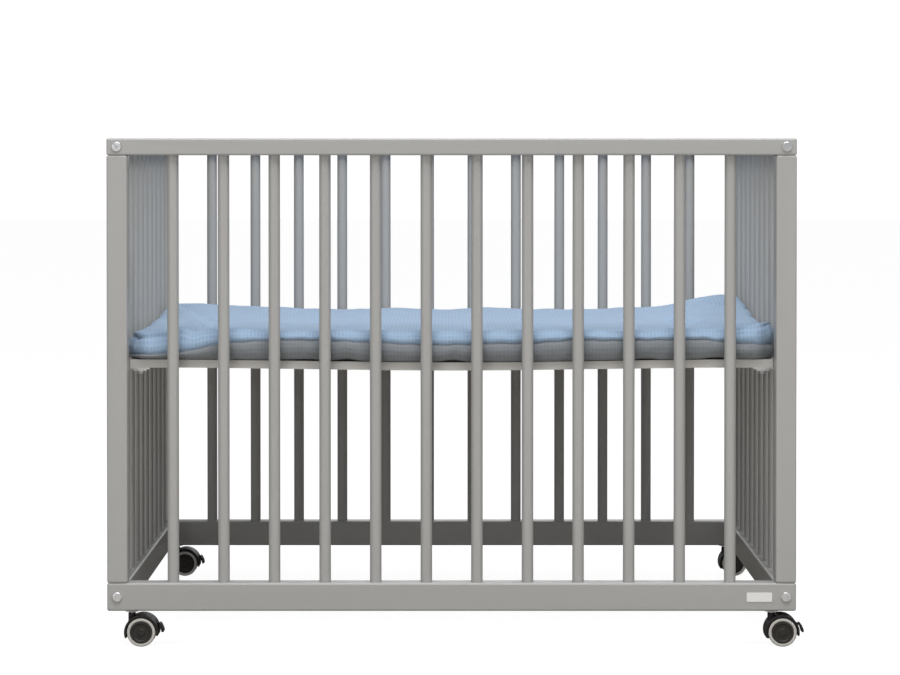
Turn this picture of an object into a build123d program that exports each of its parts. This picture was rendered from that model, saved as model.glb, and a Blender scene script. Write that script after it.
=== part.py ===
from build123d import *

import os
from math import cos, radians, sin

# Rectangular timber playpen on four twin-wheel castors, in millimetres.
# +X runs along the long sides, +Y from the front to the rear, +Z up.
# The origin is on the floor, under the middle of the timber frame.

# ---- Overall size of the timber frame --------------------------------------------------
length = 1010.0
width = 820.0
height = 745.0

# ---- Rails and posts -------------------------------------------------------------------
post_width = 30.0
rail_depth = 35.0
end_rail_width = 30.0
top_rail_height = 25.0
bottom_rail_height = 41.0
timber_edge_radius = 3.0

# ---- Round slats -----------------------------------------------------------------------
slat_diameter = 17.0
long_slat_count = 12
end_slat_count = 9
tenon_length = 12.0
tenon_clearance = 0.1
mortise_end_gap = 0.5

# ---- Corner joints: bolts, barrel nuts and dowels --------------------------------------
bolt_diameter = 6.0
bolt_hole_diameter = 6.5
bolt_head_diameter = 14.5
bolt_head_height = 3.0
bolt_head_rounding = 1.4
bolt_socket_size = 4.0
bolt_socket_depth = 1.8
bolt_tip_past_nut = 6.0
barrel_nut_diameter = 10.0
barrel_nut_length = 14.0
barrel_nut_from_joint = 25.0
dowel_diameter = 6.0
dowel_depth = 12.0
dowel_offset = 9.0

# ---- Floor board and its steel corner brackets -----------------------------------------
board_thickness = 12.0
board_top = 419.0
board_end_gap = 1.0
board_sag = 4.5
board_flat_end = 32.0
bracket_thickness = 2.5
bracket_under_board = 30.0
bracket_depth = 40.0
bracket_leg_height = 30.0
bracket_edge_margin = 2.0
bracket_screw_diameter = 4.0
bracket_screw_length = 18.0
bracket_screw_head_diameter = 7.5
bracket_screw_head_height = 1.6
bracket_screw_heights = (9.0, 22.0)
washer_width = 20.0
washer_length = 40.0
washer_thickness = 2.5
floor_bolt_diameter = 6.0
floor_bolt_hole_diameter = 6.6
floor_bolt_head_across_flats = 10.0
floor_bolt_head_height = 5.0
floor_bolt_inset_x = 14.0
floor_bolt_inset_y = 22.0
insert_diameter = 9.0
insert_length = 10.0
insert_bore_diameter = 6.1

# ---- Name plate, left blank ------------------------------------------------------------
plate_width = 37.0
plate_height = 13.5
plate_thickness = 0.8
plate_corner_radius = 1.5
plate_from_end = 54.0

# ---- Mat -------------------------------------------------------------------------------
mat_side_gap = 1.0
mat_rest_gap = 0.3
mat_base_thickness = 27.0
mat_cover_thickness = 20.0
mat_corner_radius = 14.0
mat_edge_radius = 9.0

# ---- Castors ---------------------------------------------------------------------------
castor_from_end = 35.0
castor_trail = 15.0
wheel_diameter = 42.0
wheel_width = 16.0
wheel_side_gap = 0.6
tyre_thickness = 5.0
tyre_edge_radius = 2.0
hub_rim_width = 3.0
hub_dish_depth = 1.6
hub_cap_radius = 6.0
hub_cap_rise = 1.2
stem_diameter = 7.0
stem_length = 60.0
stem_top_gap = 1.0
running_clearance = 0.05
socket_diameter = 11.0
socket_length = 36.0
socket_flange_diameter = 20.0
socket_flange_thickness = 2.2
boss_diameter = 11.0
boss_gap = 2.0
web_thickness = 9.0
web_below_axle = 11.0
web_past_lever_pin = 2.0
hood_gap = 1.5
hood_past_wheels = 0.4
hood_thickness = 2.5
hood_to_socket_gap = 3.8
hood_first_angle = -12.0
hood_last_angle = 200.0
axle_diameter = 5.0
axle_end_wall = 4.6
axle_end_gap = 0.6
lever_pin_diameter = 3.0
lever_pin_inset = 7.5
lever_pin_z = 11.5
lever_eye_radius = 3.2
lever_arm_width = 4.6
lever_slot_gap = 0.5
lever_slot_behind_eye = 2.3
lever_thickness = 3.5
lever_rounding = 1.0
pedal_width = 20.0
pedal_off_hood = 3.0
pedal_flare = 2.8
pedal_angles = (24.0, 12.0, -2.0)
pedal_arm_joint = 0.12

# ---- Places worked out from the sizes above --------------------------------------------
castor_x = length / 2 - castor_from_end
wheel_radius = wheel_diameter / 2
hub_radius = wheel_radius - tyre_thickness
axle_z = wheel_radius
wheel_inner = web_thickness / 2 + wheel_side_gap
wheel_outer = wheel_inner + wheel_width
hood_inner_radius = wheel_radius + hood_gap
hood_outer_radius = hood_inner_radius + hood_thickness
hood_width = 2 * (wheel_outer + hood_past_wheels)
lever_pin_x = hood_inner_radius - lever_pin_inset
lever_slot_start = lever_pin_x - lever_eye_radius - lever_slot_behind_eye
lever_slot_top = lever_pin_z + lever_eye_radius + lever_slot_gap
web_end_x = lever_pin_x + lever_pin_diameter / 2 + web_past_lever_pin
socket_flange_low = axle_z + hood_outer_radius + hood_to_socket_gap
floor_to_rail = socket_flange_low + socket_flange_thickness
boss_top = socket_flange_low - boss_gap
stem_top = floor_to_rail + socket_length - 2 * stem_top_gap
stem_low = stem_top - stem_length

long_rail_y = width / 2 - rail_depth / 2
inner_y = width / 2 - rail_depth
end_rail_x = length / 2 - end_rail_width / 2
inner_x = length / 2 - post_width
post_x = length / 2 - post_width / 2
top_rail_low = height - top_rail_height
top_rail_mid = height - top_rail_height / 2
bottom_rail_high = floor_to_rail + bottom_rail_height
bottom_rail_mid = floor_to_rail + bottom_rail_height / 2
long_slat_gap = (2 * inner_x - long_slat_count * slat_diameter) / (long_slat_count + 1)
end_slat_gap = (2 * inner_y - end_slat_count * slat_diameter) / (end_slat_count + 1)
long_slat_pitch = long_slat_gap + slat_diameter
end_slat_pitch = end_slat_gap + slat_diameter
mortise_depth = tenon_length + mortise_end_gap

board_half_length = inner_x - board_end_gap
board_half_width = inner_y - board_end_gap
board_bottom = board_top - board_thickness
floor_bolt_x = board_half_length - floor_bolt_inset_x
floor_bolt_y = board_half_width - floor_bolt_inset_y
bracket_low = board_bottom - bracket_thickness
washer_low = bracket_low - washer_thickness
floor_bolt_head_low = washer_low - floor_bolt_head_height
bracket_outer_x = length / 2 - bracket_edge_margin
bracket_inner_x = inner_x - bracket_under_board
bracket_leg_inner_x = inner_x + bracket_edge_margin

mat_half_length = inner_x - mat_side_gap
mat_half_width = inner_y - mat_side_gap
mat_bottom = board_top + mat_rest_gap
mat_seam = mat_bottom + mat_base_thickness

corner_signs = {
    "front_left": (-1, -1),
    "front_right": (1, -1),
    "rear_left": (-1, 1),
    "rear_right": (1, 1),
}
long_sides = {"front": -1, "rear": 1}
end_sides = {"left": -1, "right": 1}

os.makedirs("parts", exist_ok=True)


def save(piece, name):
    """Labels a finished sub-part and writes it to its own STEP file."""
    piece.part.label = name
    export_step(piece.part, f"parts/{name}.step")


def outer_face_plane(side):
    """Plane on the outer face of the front (-1) or rear (+1) rails, facing out, with its local y up."""
    return Plane(origin=(0, side * width / 2, 0), x_dir=(-side, 0, 0), z_dir=(0, side, 0))


def joint_face_plane(side):
    """Plane where the end rails meet the front (-1) or rear (+1) rails, facing out."""
    return Plane(origin=(0, side * inner_y, 0), x_dir=(-side, 0, 0), z_dir=(0, side, 0))


# ---- Long rails: front and rear, top and bottom ----------------------------------------
def make_long_rail(side, low, rail_height, slats_from_above):
    """Full-length rail with slat mortises, corner bolt holes and dowel holes."""
    y = side * long_rail_y
    middle = low + rail_height / 2
    slat_face = low + rail_height if slats_from_above else low
    into_rail = -1 if slats_from_above else 1
    with BuildPart() as rail:
        with BuildSketch(Plane.XY.offset(low)):
            with Locations((0, y)):
                Rectangle(length, rail_depth)
        extrude(amount=rail_height)
        fillet(rail.edges(), timber_edge_radius)
        # Blind mortises for the slats
        with BuildSketch(Plane.XY.offset(slat_face)):
            with Locations((0, y)):
                with GridLocations(long_slat_pitch, 1, long_slat_count, 1):
                    Circle(slat_diameter / 2 + tenon_clearance)
        extrude(amount=into_rail * mortise_depth, mode=Mode.SUBTRACT)
        # Dowels up from, or down to, the posts
        with BuildSketch(Plane.XY.offset(slat_face)):
            for end in (-1, 1):
                with Locations((end * post_x, y)):
                    with GridLocations(2 * dowel_offset, 1, 2, 1):
                        Circle(dowel_diameter / 2)
        extrude(amount=into_rail * dowel_depth, mode=Mode.SUBTRACT)
        # Bolts right through to the end rails, and the dowel beside each
        with BuildSketch(outer_face_plane(side)):
            with Locations((-end_rail_x, middle), (end_rail_x, middle)):
                Circle(bolt_hole_diameter / 2)
        extrude(amount=-rail_depth, mode=Mode.SUBTRACT)
        with BuildSketch(joint_face_plane(side)):
            with Locations((dowel_offset - end_rail_x, middle), (end_rail_x - dowel_offset, middle)):
                Circle(dowel_diameter / 2)
        extrude(amount=dowel_depth, mode=Mode.SUBTRACT)
        if slats_from_above:
            # Castor sockets press in from below
            with BuildSketch(Plane.XY.offset(low)):
                with Locations((-castor_x, y), (castor_x, y)):
                    Circle(socket_diameter / 2)
            extrude(amount=socket_length, mode=Mode.SUBTRACT)
    return rail


for side_name, side in long_sides.items():
    save(make_long_rail(side, top_rail_low, top_rail_height, False), f"{side_name}_top_rail")
    save(make_long_rail(side, floor_to_rail, bottom_rail_height, True), f"{side_name}_bottom_rail")


# ---- End rails: left and right, top and bottom -----------------------------------------
def make_end_rail(end, low, rail_height, slats_from_above):
    """Short rail between the long frames, cross-drilled for its two barrel nuts."""
    x = end * end_rail_x
    middle = low + rail_height / 2
    slat_face = low + rail_height if slats_from_above else low
    into_rail = -1 if slats_from_above else 1
    nut_y = inner_y - barrel_nut_from_joint
    with BuildPart() as rail:
        with BuildSketch(Plane.XY.offset(low)):
            with Locations((x, 0)):
                Rectangle(end_rail_width, 2 * inner_y)
        extrude(amount=rail_height)
        fillet(rail.edges().filter_by(Axis.Y), timber_edge_radius)
        with BuildSketch(Plane.XY.offset(slat_face)):
            with Locations((x, 0)):
                with GridLocations(1, end_slat_pitch, 1, end_slat_count):
                    Circle(slat_diameter / 2 + tenon_clearance)
        extrude(amount=into_rail * mortise_depth, mode=Mode.SUBTRACT)
        for side in (-1, 1):
            with BuildSketch(joint_face_plane(side)):
                with Locations((-side * x, middle)):
                    Circle(bolt_hole_diameter / 2)
            extrude(amount=-(barrel_nut_from_joint + 2 * bolt_tip_past_nut), mode=Mode.SUBTRACT)
            with BuildSketch(joint_face_plane(side)):
                with Locations((-side * (x - end * dowel_offset), middle)):
                    Circle(dowel_diameter / 2)
            extrude(amount=-dowel_depth, mode=Mode.SUBTRACT)
        # Barrel nut holes, open on the underside
        with BuildSketch(Plane.XY.offset(low)):
            with Locations((x, -nut_y), (x, nut_y)):
                Circle(barrel_nut_diameter / 2)
        extrude(amount=rail_height / 2 + barrel_nut_length / 2, mode=Mode.SUBTRACT)
    return rail


for end_name, end in end_sides.items():
    save(make_end_rail(end, top_rail_low, top_rail_height, False), f"{end_name}_top_rail")
    save(make_end_rail(end, floor_to_rail, bottom_rail_height, True), f"{end_name}_bottom_rail")


# ---- Corner posts, standing between the long rails -------------------------------------
def make_post(end, side):
    """Post with rounded edges all round, so each end shows a V joint against its rail."""
    centre = (end * post_x, side * long_rail_y)
    with BuildPart() as post:
        with BuildSketch(Plane.XY.offset(bottom_rail_high)):
            with Locations(centre):
                Rectangle(post_width, rail_depth)
        extrude(amount=top_rail_low - bottom_rail_high)
        fillet(post.edges(), timber_edge_radius)
        for face_z, into_post in ((bottom_rail_high, 1), (top_rail_low, -1)):
            with BuildSketch(Plane.XY.offset(face_z)):
                with Locations(centre):
                    with GridLocations(2 * dowel_offset, 1, 2, 1):
                        Circle(dowel_diameter / 2)
            extrude(amount=into_post * dowel_depth, mode=Mode.SUBTRACT)
        # Pilot holes for the bracket screws, in the face towards the pen
        with BuildSketch(joint_face_plane(side)):
            for screw_height in bracket_screw_heights:
                with Locations((-side * end * post_x, board_bottom + screw_height)):
                    Circle(bracket_screw_diameter / 2)
        extrude(amount=bracket_screw_length, mode=Mode.SUBTRACT)
    return post


for corner_name, (end, side) in corner_signs.items():
    save(make_post(end, side), f"{corner_name}_post")

# ---- Round slats -----------------------------------------------------------------------
slat_low = bottom_rail_high - tenon_length
slat_length = top_rail_low + tenon_length - slat_low

for side_name, side in long_sides.items():
    with BuildPart() as long_slats:
        with BuildSketch(Plane.XY.offset(slat_low)):
            with Locations((0, side * long_rail_y)):
                with GridLocations(long_slat_pitch, 1, long_slat_count, 1):
                    Circle(slat_diameter / 2)
        extrude(amount=slat_length)
    save(long_slats, f"{side_name}_slats")

for end_name, end in end_sides.items():
    with BuildPart() as end_slats:
        with BuildSketch(Plane.XY.offset(slat_low)):
            with Locations((end * end_rail_x, 0)):
                with GridLocations(1, end_slat_pitch, 1, end_slat_count):
                    Circle(slat_diameter / 2)
        extrude(amount=slat_length)
    save(end_slats, f"{end_name}_slats")

# ---- Corner bolts: domed heads with a hex socket, outside the long rails ---------------
bolt_length = rail_depth + barrel_nut_from_joint + bolt_tip_past_nut
bolt_spots = [(x, z) for x in (-end_rail_x, end_rail_x) for z in (bottom_rail_mid, top_rail_mid)]

with BuildPart() as corner_bolts:
    for side in (-1, 1):
        with BuildSketch(outer_face_plane(side)):
            with Locations(*bolt_spots):
                Circle(bolt_head_diameter / 2)
        extrude(amount=bolt_head_height)
    for head_face in corner_bolts.faces().filter_by(Axis.Y):
        if abs(head_face.center().Y) > width / 2 + bolt_head_height / 2:
            fillet(head_face.edges(), bolt_head_rounding)
    for side in (-1, 1):
        head_top = outer_face_plane(side).offset(bolt_head_height)
        with BuildSketch(head_top):
            with Locations(*bolt_spots):
                RegularPolygon(bolt_socket_size / 2, 6, major_radius=False)
        extrude(amount=-bolt_socket_depth, mode=Mode.SUBTRACT)
        with BuildSketch(outer_face_plane(side)):
            with Locations(*bolt_spots):
                Circle(bolt_diameter / 2)
        extrude(amount=-bolt_length)
save(corner_bolts, "corner_bolts")

# ---- Barrel nuts, across the end rails -------------------------------------------------
barrel_nut_y = inner_y - barrel_nut_from_joint

with BuildPart() as barrel_nuts:
    for nut_middle in (bottom_rail_mid, top_rail_mid):
        with BuildSketch(Plane.XY.offset(nut_middle - barrel_nut_length / 2)):
            with GridLocations(2 * end_rail_x, 2 * barrel_nut_y, 2, 2):
                Circle(barrel_nut_diameter / 2)
        extrude(amount=barrel_nut_length)
    with BuildSketch(Plane.XZ):
        with Locations(*bolt_spots):
            Circle(bolt_diameter / 2)
    extrude(amount=width / 2, both=True, mode=Mode.SUBTRACT)
save(barrel_nuts, "barrel_nuts")

# ---- Dowels that locate the end rails and hold the posts -------------------------------
with BuildPart() as locating_dowels:
    for side in (-1, 1):
        with BuildSketch(joint_face_plane(side).offset(-dowel_depth)):
            for middle in (bottom_rail_mid, top_rail_mid):
                with Locations((0, middle)):
                    with GridLocations(2 * (end_rail_x - dowel_offset), 1, 2, 1):
                        Circle(dowel_diameter / 2)
        extrude(amount=2 * dowel_depth)
save(locating_dowels, "locating_dowels")

with BuildPart() as post_dowels:
    for joint_z in (bottom_rail_high, top_rail_low):
        with BuildSketch(Plane.XY.offset(joint_z - dowel_depth)):
            with GridLocations(2 * post_x, 2 * long_rail_y, 2, 2):
                with GridLocations(2 * dowel_offset, 1, 2, 1):
                    Circle(dowel_diameter / 2)
        extrude(amount=2 * dowel_depth)
save(post_dowels, "post_dowels")

# ---- Floor board, flat over its brackets and bowed a little between them ---------------
flat_from = board_half_length - board_flat_end

with BuildPart() as floor_board:
    with BuildSketch(Plane.XZ):
        with BuildLine():
            top_ends = Line((-board_half_length, board_top), (-flat_from, board_top))
            Spline(
                top_ends @ 1,
                (0, board_top - board_sag),
                (flat_from, board_top),
                tangents=((1, 0), (1, 0)),
            )
            Line((flat_from, board_top), (board_half_length, board_top))
            Line((board_half_length, board_top), (board_half_length, board_bottom))
            Line((board_half_length, board_bottom), (flat_from, board_bottom))
            Spline(
                (flat_from, board_bottom),
                (0, board_bottom - board_sag),
                (-flat_from, board_bottom),
                tangents=((-1, 0), (-1, 0)),
            )
            Line((-flat_from, board_bottom), (-board_half_length, board_bottom))
            Line((-board_half_length, board_bottom), (-board_half_length, board_top))
        make_face()
    extrude(amount=board_half_width, both=True)
    with BuildSketch(Plane.XY.offset(board_bottom)):
        with GridLocations(2 * floor_bolt_x, 2 * floor_bolt_y, 2, 2):
            Circle(insert_diameter / 2)
    extrude(amount=insert_length, mode=Mode.SUBTRACT)
save(floor_board, "floor_board")

# ---- Threaded inserts in the board, bolts and washer plates under it -------------------
with BuildPart() as floor_inserts:
    with BuildSketch(Plane.XY.offset(board_bottom)):
        with GridLocations(2 * floor_bolt_x, 2 * floor_bolt_y, 2, 2):
            Circle(insert_diameter / 2)
            Circle(insert_bore_diameter / 2, mode=Mode.SUBTRACT)
    extrude(amount=insert_length)
save(floor_inserts, "floor_inserts")

with BuildPart() as floor_bolts:
    with BuildSketch(Plane.XY.offset(floor_bolt_head_low)):
        with GridLocations(2 * floor_bolt_x, 2 * floor_bolt_y, 2, 2):
            RegularPolygon(floor_bolt_head_across_flats / 2, 6, major_radius=False)
    extrude(amount=floor_bolt_head_height)
    with BuildSketch(Plane.XY.offset(washer_low)):
        with GridLocations(2 * floor_bolt_x, 2 * floor_bolt_y, 2, 2):
            Circle(floor_bolt_diameter / 2)
    extrude(amount=washer_thickness + bracket_thickness + insert_length)
save(floor_bolts, "floor_bolts")

with BuildPart() as floor_washers:
    with BuildSketch(Plane.XY.offset(washer_low)):
        with GridLocations(2 * floor_bolt_x, 2 * floor_bolt_y, 2, 2):
            Rectangle(washer_width, washer_length)
            Circle(floor_bolt_hole_diameter / 2, mode=Mode.SUBTRACT)
    extrude(amount=washer_thickness)
save(floor_washers, "floor_washers")

# ---- Steel brackets: a plate under each board corner, with a leg up the inner face of the post ----
bracket_plate_x = (bracket_outer_x + bracket_inner_x) / 2
bracket_leg_x = (bracket_outer_x + bracket_leg_inner_x) / 2

with BuildPart() as floor_brackets:
    with BuildSketch(Plane.XY.offset(bracket_low)):
        with GridLocations(2 * bracket_plate_x, 2 * inner_y - bracket_depth, 2, 2):
            Rectangle(bracket_outer_x - bracket_inner_x, bracket_depth)
        with GridLocations(2 * floor_bolt_x, 2 * floor_bolt_y, 2, 2):
            Circle(floor_bolt_hole_diameter / 2, mode=Mode.SUBTRACT)
    extrude(amount=bracket_thickness)
    with BuildSketch(Plane.XY.offset(bracket_low)):
        with GridLocations(2 * bracket_leg_x, 2 * inner_y - bracket_thickness, 2, 2):
            Rectangle(bracket_outer_x - bracket_leg_inner_x, bracket_thickness)
    extrude(amount=bracket_thickness + bracket_leg_height)
    for side in (-1, 1):
        for screw_height in bracket_screw_heights:
            with BuildSketch(joint_face_plane(side)):
                with Locations((0, board_bottom + screw_height)):
                    with GridLocations(2 * post_x, 1, 2, 1):
                        Circle(bracket_screw_diameter / 2)
            extrude(amount=-bracket_thickness, mode=Mode.SUBTRACT)
save(floor_brackets, "floor_brackets")

with BuildPart() as bracket_screws:
    for side in (-1, 1):
        for screw_height in bracket_screw_heights:
            with BuildSketch(joint_face_plane(side).offset(bracket_screw_length)):
                with Locations((0, board_bottom + screw_height)):
                    with GridLocations(2 * post_x, 1, 2, 1):
                        Circle(bracket_screw_diameter / 2)
            extrude(amount=-(bracket_screw_length + bracket_thickness))
            with BuildSketch(joint_face_plane(side).offset(-bracket_thickness)):
                with Locations((0, board_bottom + screw_height)):
                    with GridLocations(2 * post_x, 1, 2, 1):
                        Circle(bracket_screw_head_diameter / 2)
            extrude(amount=-bracket_screw_head_height)
save(bracket_screws, "bracket_screws")

# ---- Blank plate on the front bottom rail ----------------------------------------------
with BuildPart() as label_plate:
    with BuildSketch(outer_face_plane(-1)):
        with Locations((length / 2 - plate_from_end, bottom_rail_mid)):
            RectangleRounded(plate_width, plate_height, plate_corner_radius)
    extrude(amount=plate_thickness)
save(label_plate, "label_plate")

# ---- Mat: a padded base with a softer cover sewn on top --------------------------------
with BuildPart() as mat_base:
    with BuildSketch(Plane.XY.offset(mat_bottom)):
        RectangleRounded(2 * mat_half_length, 2 * mat_half_width, mat_corner_radius)
    extrude(amount=mat_base_thickness)
save(mat_base, "mat_base")

with BuildPart() as mat_cover:
    with BuildSketch(Plane.XY.offset(mat_seam)):
        RectangleRounded(2 * mat_half_length, 2 * mat_half_width, mat_corner_radius)
    extrude(amount=mat_cover_thickness)
    fillet(mat_cover.faces().sort_by(Axis.Z)[-1].edges(), mat_edge_radius)
save(mat_cover, "mat_cover")

# ---- Castor sockets, pressed into the bottom rails -------------------------------------
with BuildPart() as castor_sockets:
    with BuildSketch(Plane.XY.offset(socket_flange_low)):
        with GridLocations(2 * castor_x, 2 * long_rail_y, 2, 2):
            Circle(socket_flange_diameter / 2)
    extrude(amount=socket_flange_thickness)
    with BuildSketch(Plane.XY.offset(floor_to_rail)):
        with GridLocations(2 * castor_x, 2 * long_rail_y, 2, 2):
            Circle(socket_diameter / 2)
    extrude(amount=socket_length)
    with BuildSketch(Plane.XY.offset(socket_flange_low)):
        with GridLocations(2 * castor_x, 2 * long_rail_y, 2, 2):
            Circle(stem_diameter / 2 + running_clearance)
    extrude(amount=stem_top + stem_top_gap - socket_flange_low, mode=Mode.SUBTRACT)
save(castor_sockets, "castor_sockets")


# ---- Castor: hood and web around two wheels --------------------------------------------
def castor_plane(x, y):
    """Middle plane of a castor, with its origin on the axle, local x towards the trail and local y up."""
    return Plane(origin=(x + castor_trail, y, axle_z), x_dir=(1, 0, 0), z_dir=(0, -1, 0))


def make_castor_housing(x, y):
    """One moulding: the arched hood, the web between the wheels and the boss that holds the stem."""
    middle = castor_plane(x, y)
    hood_sweep = hood_last_angle - hood_first_angle
    wheel_room = (hood_width - web_thickness) / 2
    with BuildPart() as housing:
        with BuildSketch(Plane.XY.offset(axle_z)):
            with Locations((x, y)):
                Circle(boss_diameter / 2)
        extrude(amount=boss_top - axle_z)
        # Room for the wheels on both sides of the web
        for toward in (-1, 1):
            with BuildSketch(middle.offset(toward * web_thickness / 2)):
                Circle(hood_inner_radius)
            extrude(amount=toward * wheel_room, mode=Mode.SUBTRACT)
        with BuildSketch(middle):
            with BuildLine():
                outer = CenterArc((0, 0), hood_outer_radius, hood_first_angle, hood_sweep)
                inner = CenterArc((0, 0), hood_inner_radius, hood_first_angle, hood_sweep)
                Line(outer @ 0, inner @ 0)
                Line(outer @ 1, inner @ 1)
            make_face()
        extrude(amount=hood_width / 2, both=True)
        with BuildSketch(middle):
            Circle(hood_inner_radius)
            with Locations((0, -web_below_axle)):
                Rectangle(
                    2 * hood_inner_radius,
                    hood_inner_radius,
                    align=(Align.CENTER, Align.MAX),
                    mode=Mode.SUBTRACT,
                )
            # The web stops short of the pedal, so that the pedal can be pressed
            with Locations((web_end_x, 0)):
                Rectangle(
                    hood_inner_radius,
                    2 * hood_inner_radius,
                    align=(Align.MIN, Align.CENTER),
                    mode=Mode.SUBTRACT,
                )
        extrude(amount=web_thickness / 2, both=True)
        # Slot for the lever, and the holes for stem, axle and lever pin
        with BuildSketch(middle):
            with Locations((lever_slot_start, lever_slot_top)):
                Rectangle(hood_outer_radius, 2 * hood_outer_radius, align=(Align.MIN, Align.MAX))
        extrude(amount=lever_arm_width / 2 + lever_slot_gap, both=True, mode=Mode.SUBTRACT)
        with BuildSketch(Plane.XY.offset(stem_low)):
            with Locations((x, y)):
                Circle(stem_diameter / 2)
        extrude(amount=boss_top - stem_low, mode=Mode.SUBTRACT)
        with BuildSketch(middle):
            Circle(axle_diameter / 2)
            with Locations((lever_pin_x, lever_pin_z)):
                Circle(lever_pin_diameter / 2)
        extrude(amount=web_thickness / 2, both=True, mode=Mode.SUBTRACT)
    return housing


def make_castor_pins(x, y):
    """The steel pieces held in the housing: upright stem, axle and lever pin."""
    middle = castor_plane(x, y)
    with BuildPart() as pins:
        with BuildSketch(Plane.XY.offset(stem_low)):
            with Locations((x, y)):
                Circle(stem_diameter / 2)
        extrude(amount=stem_length)
        with BuildSketch(middle):
            Circle(axle_diameter / 2)
        extrude(amount=wheel_outer - axle_end_wall, both=True)
        with BuildSketch(middle):
            with Locations((lever_pin_x, lever_pin_z)):
                Circle(lever_pin_diameter / 2)
        extrude(amount=web_thickness / 2, both=True)
    return pins


def wheel_plane(x, y, toward):
    """Half-section plane of a wheel: local x out along the axle, local y the radius."""
    return Plane(origin=(x + castor_trail, y, axle_z), x_dir=(0, toward, 0), z_dir=(toward, 0, 0))


def make_wheel_hub(x, y, toward):
    """Moulded hub with a dished outer face and a raised centre cap, bored blind for the axle."""
    bore_radius = axle_diameter / 2 + running_clearance
    bore_end = wheel_outer - axle_end_wall + axle_end_gap
    dish = wheel_outer - hub_dish_depth
    axle_axis = Axis((x + castor_trail, y, axle_z), (0, 1, 0))
    with BuildPart() as hub:
        with BuildSketch(wheel_plane(x, y, toward)):
            with BuildLine():
                Polyline(
                    (dish + hub_cap_rise, 0),
                    (bore_end, 0),
                    (bore_end, bore_radius),
                    (wheel_inner, bore_radius),
                    (wheel_inner, hub_radius),
                    (wheel_outer, hub_radius),
                    (wheel_outer, hub_radius - hub_rim_width),
                    (dish, hub_radius - hub_rim_width - hub_dish_depth),
                    (dish, hub_cap_radius),
                    (dish + hub_cap_rise, hub_cap_radius - hub_cap_rise),
                    close=True,
                )
            make_face()
        revolve(axis=axle_axis, revolution_arc=360)
    return hub


def make_tyre(x, y, toward):
    """Soft tread ring around a hub, with rounded shoulders."""
    axle_axis = Axis((x + castor_trail, y, axle_z), (0, 1, 0))
    with BuildPart() as tyre:
        with BuildSketch(wheel_plane(x, y, toward)) as section:
            with Locations(((wheel_inner + wheel_outer) / 2, hub_radius + tyre_thickness / 2)):
                Rectangle(wheel_width, tyre_thickness)
            fillet(section.vertices().group_by(Axis.Z)[-1], tyre_edge_radius)
        revolve(axis=axle_axis, revolution_arc=360)
    return tyre


def make_brake_lever(x, y):
    """Arm on the lever pin, carrying a pedal that curls down outside the hood."""
    middle = castor_plane(x, y)
    pedal_points = []
    for step, angle in enumerate(pedal_angles):
        radius = hood_outer_radius + pedal_off_hood + pedal_flare * step / (len(pedal_angles) - 1)
        pedal_points.append((radius * cos(radians(angle)), radius * sin(radians(angle))))
    with BuildPart() as lever:
        with BuildSketch(middle):
            with BuildLine():
                pedal_line = ThreePointArc(*pedal_points)
            trace(line_width=lever_thickness)
        extrude(amount=pedal_width / 2, both=True)
        fillet(lever.edges().filter_by(Axis.Y), lever_rounding)
        with BuildSketch(middle):
            with BuildLine():
                Line((lever_pin_x, lever_pin_z), pedal_line @ pedal_arm_joint)
            trace(line_width=lever_thickness)
            with Locations((lever_pin_x, lever_pin_z)):
                Circle(lever_eye_radius)
        extrude(amount=lever_arm_width / 2, both=True)
        with BuildSketch(middle):
            with Locations((lever_pin_x, lever_pin_z)):
                Circle(lever_pin_diameter / 2 + running_clearance)
        extrude(amount=lever_arm_width / 2, both=True, mode=Mode.SUBTRACT)
    return lever


for corner_name, (end, side) in corner_signs.items():
    stem_x = end * castor_x
    stem_y = side * long_rail_y
    save(make_castor_housing(stem_x, stem_y), f"{corner_name}_castor_housing")
    save(make_castor_pins(stem_x, stem_y), f"{corner_name}_castor_pins")
    save(make_brake_lever(stem_x, stem_y), f"{corner_name}_brake_lever")
    for wheel_name, toward in (("near", -1), ("far", 1)):
        save(make_wheel_hub(stem_x, stem_y, toward), f"{corner_name}_{wheel_name}_hub")
        save(make_tyre(stem_x, stem_y, toward), f"{corner_name}_{wheel_name}_tyre")

print("slat gaps:", round(long_slat_gap, 2), round(end_slat_gap, 2))
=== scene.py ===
# %% [markdown]
# # A slatted playpen on castors
# The CAD model gives the timber frame, the floor board, the fittings and the castors, each in its place.
# This lesson adds what CAD leaves plain: lacquer with a trace of grain, zinc and moulded plastic, and a
# padded mat of waffle cloth. It starts by loading the frame.

# %% Load the frame
from math import radians

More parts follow.
